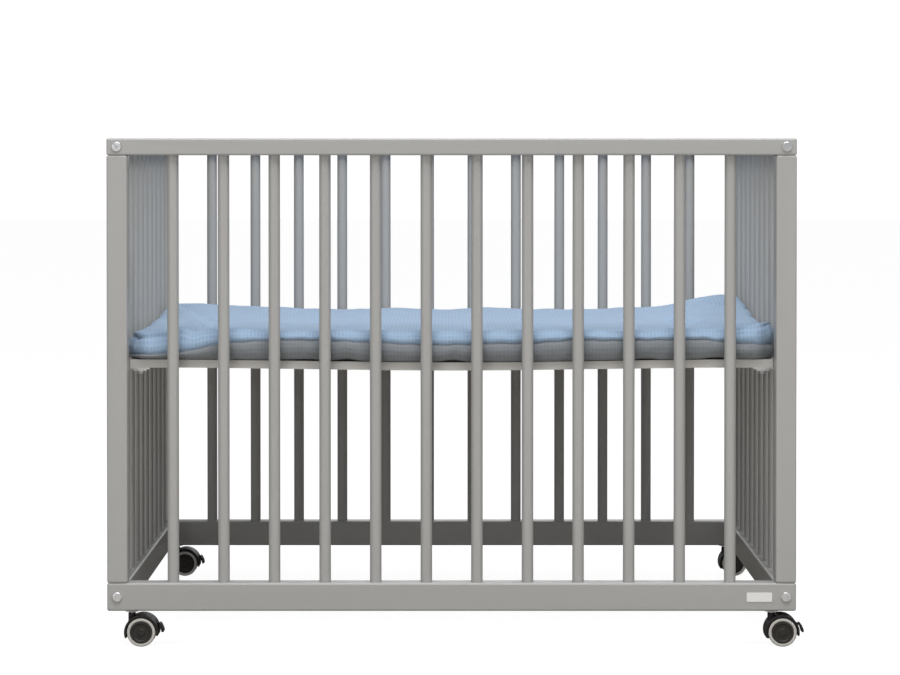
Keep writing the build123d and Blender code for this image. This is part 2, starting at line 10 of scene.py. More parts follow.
import bpy
import numpy as np
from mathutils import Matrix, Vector


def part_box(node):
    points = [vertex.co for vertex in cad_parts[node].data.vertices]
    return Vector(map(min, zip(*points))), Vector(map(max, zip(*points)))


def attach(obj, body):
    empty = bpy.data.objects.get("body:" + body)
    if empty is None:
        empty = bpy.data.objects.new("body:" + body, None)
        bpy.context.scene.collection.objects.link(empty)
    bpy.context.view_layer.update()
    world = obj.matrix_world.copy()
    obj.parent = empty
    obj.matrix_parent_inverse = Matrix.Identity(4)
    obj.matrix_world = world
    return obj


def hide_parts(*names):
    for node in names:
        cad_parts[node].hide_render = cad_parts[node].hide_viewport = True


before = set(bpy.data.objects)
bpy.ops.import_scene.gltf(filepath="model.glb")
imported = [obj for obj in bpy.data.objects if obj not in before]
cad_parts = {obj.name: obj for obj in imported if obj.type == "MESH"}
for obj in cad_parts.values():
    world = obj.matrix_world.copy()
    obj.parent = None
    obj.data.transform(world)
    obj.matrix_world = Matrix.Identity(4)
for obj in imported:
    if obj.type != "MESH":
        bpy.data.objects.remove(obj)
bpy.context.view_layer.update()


# %% [markdown]
# ## The floor, the light and the camera
# A product like this is shown on a plain white floor in soft light. One large lamp hangs above and in
# front, so that the raised floor board throws the lower part of the pen into shade, and weaker ones fill
# from the front and the rear. The floor looks white but sends back less light than white paper would, and
# less under the pen than in front of it. That is a studio trick to keep the timber under the board deep.
# Two floor shaders do it: the Light Path node picks one for the camera and the other for the bounced light.
# The camera stands level with the top rails, far away, which keeps the slats upright and parallel. A nearly
# level camera with a downward shift does this, where a fully tilted one would make the posts lean.

# %% Camera
camera_distance = 5.078
camera_height = 0.723
camera_aside = -0.009
camera_tilt = 1.0
camera_data = bpy.data.cameras.new("product_camera")
camera_data.sensor_width = 36.0
camera_data.lens = 127.7
camera_data.shift_x = 0.005
camera_data.shift_y = -0.1428
camera = bpy.data.objects.new("product_camera", camera_data)
camera.location = (camera_aside, -camera_distance, camera_height)
camera.rotation_euler = (radians(90 - camera_tilt), 0, 0)
bpy.context.scene.collection.objects.link(camera)
bpy.context.scene.camera = camera
print("camera lens", camera_data.lens, "mm at", tuple(round(v, 3) for v in camera.location))


# %% Node helpers
def new_material(name):
    """An empty material with an output and a Principled shader, ready to wire."""
    material = bpy.data.materials.new(name)
    material.use_nodes = True
    tree = material.node_tree
    tree.nodes.clear()
    output = tree.nodes.new("ShaderNodeOutputMaterial")
    shader = tree.nodes.new("ShaderNodeBsdfPrincipled")
    tree.links.new(shader.outputs["BSDF"], output.inputs["Surface"])
    return material, tree, shader


def add_node(tree, kind, **settings):
    """A node of one kind, with its properties and unlinked inputs set by name."""
    node = tree.nodes.new(kind)
    for key, value in settings.items():
        if hasattr(node, key):
            setattr(node, key, value)
        else:
            node.inputs[key.replace("_", " ")].default_value = value
    return node


def deselect_all():
    """The frame arrives selected, and an operator acts on all that is selected."""
    if bpy.context.object and bpy.context.object.mode != "OBJECT":
        bpy.ops.object.mode_set(mode="OBJECT")
    bpy.ops.object.select_all(action="DESELECT")


# %% Backdrop and light
floor_size = 60.0
deselect_all()
bpy.ops.mesh.primitive_plane_add(size=floor_size, location=(0, 0, 0))
floor = bpy.context.object
floor.name = "studio_floor"
floor_material, tree, shader = new_material("studio_paper")
shader.inputs["Roughness"].default_value = 0.9
# How much light the paper sends back is chosen, not measured: more in front of the pen, less under and behind
paper_place = tree.nodes.new("ShaderNodeTexCoord")
paper_split = tree.nodes.new("ShaderNodeSeparateXYZ")
bounce_front_y, bounce_rear_y = -0.62, -0.38
behind = add_node(tree, "ShaderNodeMapRange", From_Min=bounce_front_y, From_Max=bounce_rear_y)
bounce = add_node(tree, "ShaderNodeMix", data_type="RGBA")
bounce.inputs[6].default_value = (0.45, 0.415, 0.365, 1)
bounce.inputs[7].default_value = (0.24, 0.22, 0.19, 1)
tree.links.new(paper_place.outputs["Object"], paper_split.inputs[0])
tree.links.new(paper_split.outputs["Y"], behind.inputs["Value"])
tree.links.new(behind.outputs["Result"], bounce.inputs["Factor"])
tree.links.new(bounce.outputs[2], shader.inputs["Base Color"])
paper = add_node(tree, "ShaderNodeBsdfDiffuse", Color=(0.9, 0.9, 0.9, 1))
glow = add_node(tree, "ShaderNodeEmission", Color=(1, 1, 1, 1), Strength=1.15)
white_floor = add_node(tree, "ShaderNodeMixShader")
glow_share = 0.82
white_floor.inputs[0].default_value = glow_share
tree.links.new(paper.outputs[0], white_floor.inputs[1])
tree.links.new(glow.outputs[0], white_floor.inputs[2])
floor_ray = tree.nodes.new("ShaderNodeLightPath")
floor_choice = tree.nodes.new("ShaderNodeMixShader")
tree.links.new(floor_ray.outputs["Is Camera Ray"], floor_choice.inputs[0])
tree.links.new(shader.outputs[0], floor_choice.inputs[1])
tree.links.new(white_floor.outputs[0], floor_choice.inputs[2])
floor_out = next(node for node in tree.nodes if node.type == "OUTPUT_MATERIAL")
tree.links.new(floor_choice.outputs[0], floor_out.inputs["Surface"])
floor.data.materials.append(floor_material)

world = bpy.data.worlds.new("studio_surround")
bpy.context.scene.world = world
world.use_nodes = True
surround = world.node_tree
surround.nodes.clear()
world_out = surround.nodes.new("ShaderNodeOutputWorld")
seen = add_node(surround, "ShaderNodeBackground", Color=(1, 1, 1, 1), Strength=1.05)
lighting = add_node(surround, "ShaderNodeBackground", Color=(0.95, 0.97, 1, 1), Strength=0.27)
ray = surround.nodes.new("ShaderNodeLightPath")
choose = surround.nodes.new("ShaderNodeMixShader")
surround.links.new(ray.outputs["Is Camera Ray"], choose.inputs[0])
surround.links.new(lighting.outputs[0], choose.inputs[1])
surround.links.new(seen.outputs[0], choose.inputs[2])
surround.links.new(choose.outputs[0], world_out.inputs["Surface"])


def soft_lamp(name, place, aim, size, power):
    """A square area lamp at place, turned to face aim."""
    lamp = bpy.data.lights.new(name, "AREA")
    lamp.size = size
    lamp.energy = power
    holder = bpy.data.objects.new(name, lamp)
    holder.location = place
    direction = Vector(aim) - Vector(place)
    holder.rotation_euler = direction.to_track_quat("-Z", "Y").to_euler()
    bpy.context.scene.collection.objects.link(holder)


pen_middle = (0, 0, 0.45)
soft_lamp("overhead_softbox", (0.2, -1.25, 3.5), pen_middle, 2.6, 132)
soft_lamp("front_fill", (-1.8, -4.5, 2.2), pen_middle, 2.6, 23)
soft_lamp("rear_fill", (0.6, 4.4, 2.0), pen_middle, 2.4, 34)
# Two low lamps stand near the front corners, so their light fades before it gets to the rear
bottom_rail_middle = (0, -0.3, 0.1)
soft_lamp("low_left", (-1.45, -2.0, 0.5), bottom_rail_middle, 1.2, 7)
soft_lamp("low_right", (1.45, -2.0, 0.5), bottom_rail_middle, 1.2, 7)
bpy.context.scene.view_settings.view_transform = "Standard"


# %% [markdown]
# ## Shader groups shared by the finishes
# Lacquer, zinc and plastic all need the same two things: slow unevenness over a hand's width and fine
# texture under a fingertip. A node group with named inputs gives both, so that each finish only chooses
# numbers. The alternative, copying the same nodes into every material, would be harder to change later.

# %% Group: uneven surface
def make_uneven_group():
    """Colour, roughness and height that vary slowly and finely, stretched along any direction."""
    group = bpy.data.node_groups.new("uneven_surface", "ShaderNodeTree")
    sockets = group.interface
    for name, kind, value in (
        ("Colour", "NodeSocketColor", (0.5, 0.5, 0.5, 1)),
        ("Stretch", "NodeSocketVector", (1, 1, 1)),
        ("Broad Scale", "NodeSocketFloat", 6.0),
        ("Fine Scale", "NodeSocketFloat", 300.0),
        ("Colour Change", "NodeSocketFloat", 0.06),
        ("Roughness", "NodeSocketFloat", 0.4),
        ("Roughness Change", "NodeSocketFloat", 0.1),
    ):
        socket = sockets.new_socket(name, in_out="INPUT", socket_type=kind)
        socket.default_value = value
    for name, kind in (("Colour", "NodeSocketColor"), ("Roughness", "NodeSocketFloat"),
                       ("Height", "NodeSocketFloat")):
        sockets.new_socket(name, in_out="OUTPUT", socket_type=kind)
    nodes, links = group.nodes, group.links
    given = nodes.new("NodeGroupInput")
    result = nodes.new("NodeGroupOutput")
    place = nodes.new("ShaderNodeTexCoord")
    mapping = nodes.new("ShaderNodeMapping")
    links.new(place.outputs["Object"], mapping.inputs["Vector"])
    links.new(given.outputs["Stretch"], mapping.inputs["Scale"])
    broad = add_node(group, "ShaderNodeTexNoise", Detail=3.0, Roughness=0.55)
    fine = add_node(group, "ShaderNodeTexNoise", Detail=4.0, Roughness=0.6)
    for noise, scale in ((broad, "Broad Scale"), (fine, "Fine Scale")):
        links.new(mapping.outputs["Vector"], noise.inputs["Vector"])
        links.new(given.outputs[scale], noise.inputs["Scale"])
    centred = add_node(group, "ShaderNodeMath", operation="SUBTRACT")
    centred.inputs[1].default_value = 0.5
    links.new(broad.outputs["Fac"], centred.inputs[0])
    swing = add_node(group, "ShaderNodeMath", operation="MULTIPLY")
    links.new(centred.outputs[0], swing.inputs[0])
    links.new(given.outputs["Colour Change"], swing.inputs[1])
    lift = add_node(group, "ShaderNodeMath", operation="ADD")
    lift.inputs[1].default_value = 1.0
    links.new(swing.outputs[0], lift.inputs[0])
    tint = add_node(group, "ShaderNodeVectorMath", operation="SCALE")
    links.new(given.outputs["Colour"], tint.inputs[0])
    links.new(lift.outputs[0], tint.inputs["Scale"])
    links.new(tint.outputs[0], result.inputs["Colour"])
    rough_swing = add_node(group, "ShaderNodeMath", operation="MULTIPLY")
    links.new(centred.outputs[0], rough_swing.inputs[0])
    links.new(given.outputs["Roughness Change"], rough_swing.inputs[1])
    rough_sum = add_node(group, "ShaderNodeMath", operation="ADD")
    links.new(rough_swing.outputs[0], rough_sum.inputs[0])
    links.new(given.outputs["Roughness"], rough_sum.inputs[1])
    links.new(rough_sum.outputs[0], result.inputs["Roughness"])
    links.new(fine.outputs["Fac"], result.inputs["Height"])
    return group


uneven_surface = make_uneven_group()
print("group", uneven_surface.name, "has", len(uneven_surface.nodes), "nodes")


# %% Finish from the uneven group
def uneven_finish(name, colour, stretch=(1, 1, 1), broad=6.0, fine=300.0, change=0.06,
                  rough=0.4, rough_change=0.1, bump=0.1, bump_depth=0.0002, metallic=0.0, coat=0.0,
                  shine=0.5):
    """A material whose colour, roughness and bump come from the shared group."""
    material, tree, shader = new_material(name)
    uneven = tree.nodes.new("ShaderNodeGroup")
    uneven.node_tree = uneven_surface
    uneven.inputs["Colour"].default_value = (*colour, 1)
    uneven.inputs["Stretch"].default_value = stretch
    uneven.inputs["Broad Scale"].default_value = broad
    uneven.inputs["Fine Scale"].default_value = fine
    uneven.inputs["Colour Change"].default_value = change
    uneven.inputs["Roughness"].default_value = rough
    uneven.inputs["Roughness Change"].default_value = rough_change
    relief = add_node(tree, "ShaderNodeBump", Strength=bump, Distance=bump_depth)
    tree.links.new(uneven.outputs["Colour"], shader.inputs["Base Color"])
    tree.links.new(uneven.outputs["Roughness"], shader.inputs["Roughness"])
    tree.links.new(uneven.outputs["Height"], relief.inputs["Height"])
    tree.links.new(relief.outputs["Normal"], shader.inputs["Normal"])
    shader.inputs["Metallic"].default_value = metallic
    shader.inputs["Coat Weight"].default_value = coat
    shader.inputs["Specular IOR Level"].default_value = shine
    shader.inputs["Coat Roughness"].default_value = 0.25
    return material


def paint(material, *nodes):
    """Gives CAD nodes one finish in place of the plain colour they come with."""
    for name in nodes:
        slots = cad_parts[name].data.materials
        slots.clear()
        slots.append(material)


# %% [markdown]
# ## Grey lacquer on beech
# The timber is sprayed with an opaque satin lacquer. Almost no grain shows through, but it still runs along
# each piece, so the lacquer has faint streaks and a very shallow relief along the rail, the post or the
# slat. One finish per direction does this with the same group, stretched along X, Y or Z.

# %% Timber finishes
lacquer_grey = (0.378, 0.376, 0.368)
along, across = 0.06, 1.0
timber = {}
for direction, stretch in (("x", (along, across, across)), ("y", (across, along, across)),
                           ("z", (across, across, along))):
    timber[direction] = uneven_finish(f"grey_lacquer_{direction}", lacquer_grey, stretch, broad=40, fine=900,
                                      change=0.10, rough=0.42, rough_change=0.12, bump=0.25,
                                      bump_depth=0.0002, coat=0.1)
for side in ("front", "rear"):
    paint(timber["x"], f"{side}_top_rail", f"{side}_bottom_rail")
    paint(timber["z"], f"{side}_slats", f"{side}_left_post", f"{side}_right_post")
for end in ("left", "right"):
    paint(timber["y"], f"{end}_top_rail", f"{end}_bottom_rail")
    paint(timber["z"], f"{end}_slats")
raw_beech = uneven_finish("raw_beech", (0.55, 0.38, 0.22), (across, across, along), broad=60, fine=900,
                          change=0.3, rough=0.7, bump=0.3)
paint(raw_beech, "locating_dowels", "post_dowels")
board_paint = uneven_finish("painted_board", (0.52, 0.51, 0.49), (along, across, across), broad=30, fine=700,
                            change=0.08, rough=0.5, bump=0.2)
paint(board_paint, "floor_board")
print("timber finishes:", sorted(m.name for m in timber.values()))


# %% [markdown]
# ## Zinc, plastic and rubber
# The bolts and brackets are bright zinc, which is rougher than chrome and a little cloudy. The castors are
# black nylon with a fine mould texture. Their soft rings are pale grey on the wheel's faces and darker round
# the tread. The small plate is white plastic.

# %% Fitting finishes
zinc = uneven_finish("bright_zinc", (0.72, 0.73, 0.745), broad=220, fine=2500, change=0.25, rough=0.33,
                     rough_change=0.3, bump=0.15, metallic=1.0)
paint(zinc, "corner_bolts", "barrel_nuts", "floor_brackets", "bracket_screws", "floor_bolts", "floor_washers",
      "floor_inserts")
black_nylon = uneven_finish("black_nylon", (0.016, 0.0145, 0.0135), broad=60, fine=3000, change=0.25,
                            rough=0.5, bump=0.25, bump_depth=0.0001, shine=0.3)
hub_nylon = uneven_finish("hub_nylon", (0.028, 0.026, 0.023), broad=60, fine=3000, change=0.25, rough=0.5,
                          bump=0.25, bump_depth=0.0001, shine=0.3)
soft_tread = uneven_finish("soft_tread", (0.52, 0.50, 0.47), broad=80, fine=2000, change=0.12, rough=0.6,
                           bump=0.25, bump_depth=0.0002)
# The ring is pale where the surface faces along Y and darker round its tread, where it turns away from Y
tread_nodes = soft_tread.node_tree
tread_shader = next(node for node in tread_nodes.nodes if node.type == "BSDF_PRINCIPLED")
ring_colour = tread_shader.inputs["Base Color"].links[0].from_socket
facing = tread_nodes.nodes.new("ShaderNodeTexCoord")
facing_split = tread_nodes.nodes.new("ShaderNodeSeparateXYZ")
facing_side = add_node(tread_nodes, "ShaderNodeMath", operation="ABSOLUTE")
on_face = add_node(tread_nodes, "ShaderNodeMapRange", From_Min=0.35, From_Max=0.6)
tread_blend = add_node(tread_nodes, "ShaderNodeMix", data_type="RGBA")
tread_blend.inputs[6].default_value = (0.045, 0.041, 0.037, 1)
tread_nodes.links.new(facing.outputs["Normal"], facing_split.inputs[0])
tread_nodes.links.new(facing_split.outputs["Y"], facing_side.inputs[0])
tread_nodes.links.new(facing_side.outputs[0], on_face.inputs["Value"])
tread_nodes.links.new(on_face.outputs["Result"], tread_blend.inputs["Factor"])
tread_nodes.links.new(ring_colour, tread_blend.inputs[7])
tread_nodes.links.new(tread_blend.outputs[2], tread_shader.inputs["Base Color"])
pale_socket = uneven_finish("pale_socket", (0.46, 0.45, 0.43), broad=80, fine=2000, change=0.1, rough=0.5)
white_plate = uneven_finish("white_plate", (0.78, 0.78, 0.77), broad=90, fine=1500, change=0.05, rough=0.3,
                            bump=0.1)
paint(pale_socket, "castor_sockets")
paint(white_plate, "label_plate")
corners = [f"{side}_{end}" for side in ("front", "rear") for end in ("left", "right")]
for corner in corners:
    paint(black_nylon, f"{corner}_castor_housing", f"{corner}_brake_lever")
    paint(zinc, f"{corner}_castor_pins")
    for wheel in ("near", "far"):
        paint(hub_nylon, f"{corner}_{wheel}_hub")
        paint(soft_tread, f"{corner}_{wheel}_tyre")
print("fittings painted for", len(corners), "corners")


# %% [markdown]
# ## Waffle cloth
# Both halves of the mat are covered in waffle cloth: raised threads cross in small oblong cells. The cloth is
# one colour, and the shade in its hollows is painted in as a darker colour. At this size a weave is texture,
# so a node group makes it. It reads the place on the flat cloth, so the cells follow every fold, and it gives
# a colour and a height that each cover uses as its own.

# %% Group: waffle weave
def make_waffle_group():
    """Raised threads round oblong hollows, with painted shade in the hollows: colour and height from a place
    on the flat cloth, in metres.
    """
    group = bpy.data.node_groups.new("waffle_weave", "ShaderNodeTree")
    sockets = group.interface
    for name, kind, value in (
        ("Place", "NodeSocketVector", (0, 0, 0)),
        ("Thread Colour", "NodeSocketColor", (0.5, 0.5, 0.5, 1)),
        ("Painted Hollow Shade", "NodeSocketColor", (0.3, 0.3, 0.3, 1)),
        ("Cells Across", "NodeSocketFloat", 185.0),
        ("Cells Up", "NodeSocketFloat", 150.0),
        ("Hollow Sharpness", "NodeSocketFloat", 1.6),
        ("Colour Change", "NodeSocketFloat", 0.12),
    ):
        socket = sockets.new_socket(name, in_out="INPUT", socket_type=kind)
        socket.default_value = value
    for name, kind in (("Colour", "NodeSocketColor"), ("Height", "NodeSocketFloat")):
        sockets.new_socket(name, in_out="OUTPUT", socket_type=kind)
    nodes, links = group.nodes, group.links
    given = nodes.new("NodeGroupInput")
    result = nodes.new("NodeGroupOutput")
    # Threads are never quite straight, so the place is nudged by a slow noise
    drift = add_node(group, "ShaderNodeTexNoise", Scale=55.0, Detail=2.0)
    links.new(given.outputs["Place"], drift.inputs["Vector"])
    drift_size = add_node(group, "ShaderNodeVectorMath", operation="SCALE")
    drift_size.inputs["Scale"].default_value = 0.0022
    links.new(drift.outputs["Color"], drift_size.inputs[0])
    nudged = add_node(group, "ShaderNodeVectorMath", operation="ADD")
    links.new(given.outputs["Place"], nudged.inputs[0])
    links.new(drift_size.outputs[0], nudged.inputs[1])
    split = nodes.new("ShaderNodeSeparateXYZ")
    links.new(nudged.outputs[0], split.inputs[0])
    threads = []
    for axis, cells in (("X", "Cells Across"), ("Y", "Cells Up")):
        count = add_node(group, "ShaderNodeMath", operation="MULTIPLY")
        links.new(split.outputs[axis], count.inputs[0])
        links.new(given.outputs[cells], count.inputs[1])
        turn = add_node(group, "ShaderNodeMath", operation="MULTIPLY")
        turn.inputs[1].default_value = np.pi
        links.new(count.outputs[0], turn.inputs[0])
        wave = add_node(group, "ShaderNodeMath", operation="COSINE")
        links.new(turn.outputs[0], wave.inputs[0])
        thread = add_node(group, "ShaderNodeMath", operation="ABSOLUTE")
        links.new(wave.outputs[0], thread.inputs[0])
        sharp = add_node(group, "ShaderNodeMath", operation="POWER")
        links.new(thread.outputs[0], sharp.inputs[0])
        links.new(given.outputs["Hollow Sharpness"], sharp.inputs[1])
        threads.append(sharp)
    crossing = add_node(group, "ShaderNodeMath", operation="MAXIMUM")
    links.new(threads[0].outputs[0], crossing.inputs[0])
    links.new(threads[1].outputs[0], crossing.inputs[1])
    # Some hollows are pulled nearly flat, where the cloth is stretched
    slack = add_node(group, "ShaderNodeTexNoise", Scale=70.0, Detail=2.0)
    links.new(given.outputs["Place"], slack.inputs["Vector"])
    stretched = add_node(group, "ShaderNodeMapRange", From_Min=0.35, From_Max=0.65, To_Max=0.75)
    links.new(slack.outputs["Fac"], stretched.inputs["Value"])
    top_thread = add_node(group, "ShaderNodeMix", data_type="FLOAT")
    top_thread.inputs[3].default_value = 0.85
    links.new(stretched.outputs["Result"], top_thread.inputs["Factor"])
    links.new(crossing.outputs[0], top_thread.inputs[2])
    fibre = add_node(group, "ShaderNodeTexNoise", Scale=1400.0, Detail=3.0)
    links.new(given.outputs["Place"], fibre.inputs["Vector"])
    fuzz = add_node(group, "ShaderNodeMath", operation="MULTIPLY_ADD")
    fuzz.inputs[1].default_value = 0.3
    links.new(fibre.outputs["Fac"], fuzz.inputs[0])
    links.new(top_thread.outputs[0], fuzz.inputs[2])
    links.new(fuzz.outputs[0], result.inputs["Height"])
    # The hollows take the darker colour: painted shade, since the real cloth is one colour and its hollows
    # are only in shadow
    blend = add_node(group, "ShaderNodeMix", data_type="RGBA")
    links.new(top_thread.outputs[0], blend.inputs["Factor"])
    links.new(given.outputs["Painted Hollow Shade"], blend.inputs[6])
    links.new(given.outputs["Thread Colour"], blend.inputs[7])
    patch = add_node(group, "ShaderNodeTexNoise", Scale=16.0, Detail=3.0)
    links.new(given.outputs["Place"], patch.inputs["Vector"])
    centred = add_node(group, "ShaderNodeMath", operation="SUBTRACT")
    centred.inputs[1].default_value = 0.5
    links.new(patch.outputs["Fac"], centred.inputs[0])
    fade = add_node(group, "ShaderNodeMath", operation="MULTIPLY_ADD")
    fade.inputs[2].default_value = 1.0
    links.new(centred.outputs[0], fade.inputs[0])
    links.new(given.outputs["Colour Change"], fade.inputs[1])
    faded = add_node(group, "ShaderNodeVectorMath", operation="SCALE")
    links.new(blend.outputs[2], faded.inputs[0])
    links.new(fade.outputs[0], faded.inputs["Scale"])
    links.new(faded.outputs[0], result.inputs["Colour"])
    return group


waffle_weave = make_waffle_group()


def waffle_cloth(name, thread, hollow_shade, bump):
    """Waffle cloth of one colour, with painted shade in its hollows, laid by the piece's own map of the flat
    cloth.
    """
    material, tree, shader = new_material(name)
    laid = tree.nodes.new("ShaderNodeUVMap")
    laid.uv_map = "flat_cloth"
    weave = tree.nodes.new("ShaderNodeGroup")
    weave.node_tree = waffle_weave
    weave.inputs["Thread Colour"].default_value = (*thread, 1)
    weave.inputs["Painted Hollow Shade"].default_value = (*hollow_shade, 1)
    relief = add_node(tree, "ShaderNodeBump", Strength=bump, Distance=0.0008)
    tree.links.new(laid.outputs["UV"], weave.inputs["Place"])
    tree.links.new(weave.outputs["Colour"], shader.inputs["Base Color"])
    tree.links.new(weave.outputs["Height"], relief.inputs["Height"])
    tree.links.new(relief.outputs["Normal"], shader.inputs["Normal"])
    shader.inputs["Roughness"].default_value = 0.92
    shader.inputs["Specular IOR Level"].default_value = 0.2
    shader.inputs["Sheen Weight"].default_value = 0.15
    shader.inputs["Sheen Roughness"].default_value = 0.5
    return material


# The second colour of each cloth is painted shade for the hollows of its weave
blue_waffle = waffle_cloth("blue_waffle_cloth", (0.305, 0.415, 0.555), (0.195, 0.285, 0.42), 0.5)
grey_waffle = waffle_cloth("grey_waffle_cloth", (0.205, 0.222, 0.24), (0.155, 0.168, 0.182), 0.45)
print("cloths:", blue_waffle.name, grey_waffle.name)


# %% [markdown]
# ## The mat: its blank
# The mat is two covers sewn together round a foam pad: a grey one below and a blue one above. It could be a
# box with a bump map, but its soft edges would give it away. Here it starts as a flat grid the size of the
# CAD pad, extruded upwards in rows, so that one row of edges lies exactly on the sewn seam and more rows
# crowd beside it.

# %% Mat blank
base_low, base_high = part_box("mat_base")
cover_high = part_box("mat_cover")[1]
mat_cell = 0.008
mat_inset = 0.003
half_length = (base_high.x - base_low.x) / 2 - mat_inset
half_width = (base_high.y - base_low.y) / 2 - mat_inset
mat_floor = base_low.z
seam_z = base_high.z
mat_top = cover_high.z
base_levels = (0.0, 0.22, 0.5, 0.76, 0.92, 1.0)
cover_levels = (0.0, 0.12, 0.34, 0.62, 0.86, 1.0)
levels = [mat_floor + (seam_z - mat_floor) * share for share in base_levels]
levels += [seam_z + (mat_top - seam_z) * share for share in cover_levels[1:]]
print("mat blank:", round(2 * half_length, 3), "x", round(2 * half_width, 3), "seam at", round(seam_z, 3))


def make_mat_blank():
    """A closed box of quads, one row of which lies on the seam."""
    deselect_all()
    bpy.ops.mesh.primitive_grid_add(
        x_subdivisions=round(2 * half_length / mat_cell),
        y_subdivisions=round(2 * half_width / mat_cell),
        size=1,
        location=(0, 0, mat_floor),
    )
    blank = bpy.context.object
    blank.name = "padded_mat"
    blank.scale = (2 * half_length, 2 * half_width, 1)
    bpy.ops.object.transform_apply(location=True, rotation=False, scale=True)
    bpy.ops.object.mode_set(mode="EDIT")
    bpy.ops.mesh.select_all(action="SELECT")
    for lower, upper in zip(levels, levels[1:]):
        bpy.ops.mesh.extrude_region_move(TRANSFORM_OT_translate={"value": (0, 0, upper - lower)})
    bpy.ops.mesh.select_all(action="SELECT")
    bpy.ops.mesh.normals_make_consistent(inside=False)
    bpy.ops.object.mode_set(mode="OBJECT")
    return blank


mat = make_mat_blank()
print("mat blank has", len(mat.data.polygons), "faces")


# %% Vertex helpers
def get_points(mesh):
    """All vertex places of a mesh as an array of rows."""
    flat = np.empty(len(mesh.vertices) * 3)
    mesh.vertices.foreach_get("co", flat)
    return flat.reshape(-1, 3)


def set_points(mesh, points):
    """Puts an array of rows back as the vertex places."""
    mesh.vertices.foreach_set("co", points.reshape(-1))
    mesh.update()


blank_points = get_points(mat.data)
on_top = blank_points[:, 2] > mat_top - 1e-5
on_bottom = blank_points[:, 2] < mat_floor + 1e-5
on_seam = np.abs(blank_points[:, 2] - seam_z) < 1e-5
edge = 1e-4
on_front = blank_points[:, 1] < -half_width + edge
on_rear = blank_points[:, 1] > half_width - edge
on_left = blank_points[:, 0] < -half_length + edge
on_right = blank_points[:, 0] > half_length - edge
on_side = on_front | on_rear | on_left | on_right
print("points on the top, bottom and sides:", on_top.sum(), on_bottom.sum(), on_side.sum())


# %% [markdown]
# ## The mat: two covers and their map
# The faces above the seam row are the blue cover and the rest are the grey one. The waffle must follow the
# cloth and not the room, so each face corner keeps its place on the flat cloth in a map called flat_cloth:
# the sides are folded out beside the top, as a cutter would lay them, and one unit of the map is one metre.

# %% Covers and map
mat.data.materials.append(blue_waffle)
mat.data.materials.append(grey_waffle)
flat_cloth = mat.data.uv_layers.new(name="flat_cloth")
for face in mat.data.polygons:
    face.material_index = 0 if face.center.z > seam_z else 1
    face.use_smooth = True
    for corner in face.loop_indices:
        place = blank_points[mat.data.loops[corner].vertex_index]
        drop = mat_top - place[2]
        if abs(face.normal.z) > 0.5:
            laid_at = (place[0], place[1])
        elif abs(face.normal.y) > 0.5:
            laid_at = (place[0], place[1] + drop * np.sign(face.normal.y))
        else:
            laid_at = (place[1], place[0] + drop * np.sign(face.normal.x))
        flat_cloth.data[corner].uv = laid_at
print("blue faces:", sum(face.material_index == 0 for face in mat.data.polygons))


# %% [markdown]
# ## The mat: cloth under pressure
# Stuffed cloth has small uneven swells that are hard to draw. Blender's Cloth makes them: the blank is cut
# a little too large for its seam, which is held still, and it is filled with air for twenty frames. Gravity
# is off and no point may move past a cap, so the pad keeps its size. Only the movement is kept, for the
# next step.

# %% Cloth pass
swell_cap = 0.006
pressure = 4.0
cloth_frames = 20


def puff(piece, held):
    """Fills a closed cloth piece with air, holding some points, and returns how far each point moved."""
    held_group = piece.vertex_groups.new(name="held_points")
    held_group.add([int(i) for i in np.flatnonzero(held)], 1.0, "REPLACE")
    start = get_points(piece.data)
    cloth = piece.modifiers.new("padding", "CLOTH")
    cloth.settings.quality = 4
    cloth.settings.mass = 0.25
    cloth.settings.tension_stiffness = 14
    cloth.settings.compression_stiffness = 6
    cloth.settings.shear_stiffness = 4
    cloth.settings.bending_stiffness = 0.25
    cloth.settings.shrink_min = -0.02
    cloth.settings.use_pressure = True
    cloth.settings.uniform_pressure_force = pressure
    cloth.settings.effector_weights.gravity = 0.0
    cloth.settings.vertex_group_mass = held_group.name
    cloth.point_cache.frame_start = 1
    cloth.point_cache.frame_end = cloth_frames
    for number in range(1, cloth_frames + 1):
        bpy.context.scene.frame_set(number)
    deselect_all()
    piece.select_set(True)
    bpy.context.view_layer.objects.active = piece
    bpy.ops.object.modifier_apply(modifier=cloth.name)
    bpy.context.scene.frame_set(1)
    piece.vertex_groups.clear()
    moved = get_points(piece.data) - start
    length = np.linalg.norm(moved, axis=1, keepdims=True)
    return moved * np.minimum(1.0, swell_cap / np.maximum(length, 1e-9))


swell = np.zeros_like(blank_points)
swell = puff(mat, on_seam | on_bottom)
swell[on_top, 2] -= np.median(swell[on_top, 2])
print("cloth moved the points up to", round(float(np.linalg.norm(swell, axis=1).max()) * 1000, 1), "mm")


# %% [markdown]
# ## The mat: settled in the pen
# The real mat is softer than its box. It presses against the slats and swells out between them, sinks with
# the board, droops at one front corner and rides up at the right end. These are large shapes with known
# places, so they are written as heights along each side, read off at every point. Sculpting by hand would
# give the same form but couldn't be repeated.

# %% Settled heights
long_slat_count = 12
end_slat_count = 9
front_low, front_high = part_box("front_slats")
right_low, right_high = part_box("right_slats")
slat_radius = (front_high.y - front_low.y) / 2
long_slats = np.linspace(front_low.x + slat_radius, front_high.x - slat_radius, long_slat_count)
end_slats = np.linspace(right_low.y + slat_radius, right_high.y - slat_radius, end_slat_count)
slat_touch_y = -front_high.y - 0.0005
slat_touch_x = right_low.x - 0.0005
between_slats = 0.0042
post_touch_x = half_length + 0.002
post_touch_y = half_width - 0.001

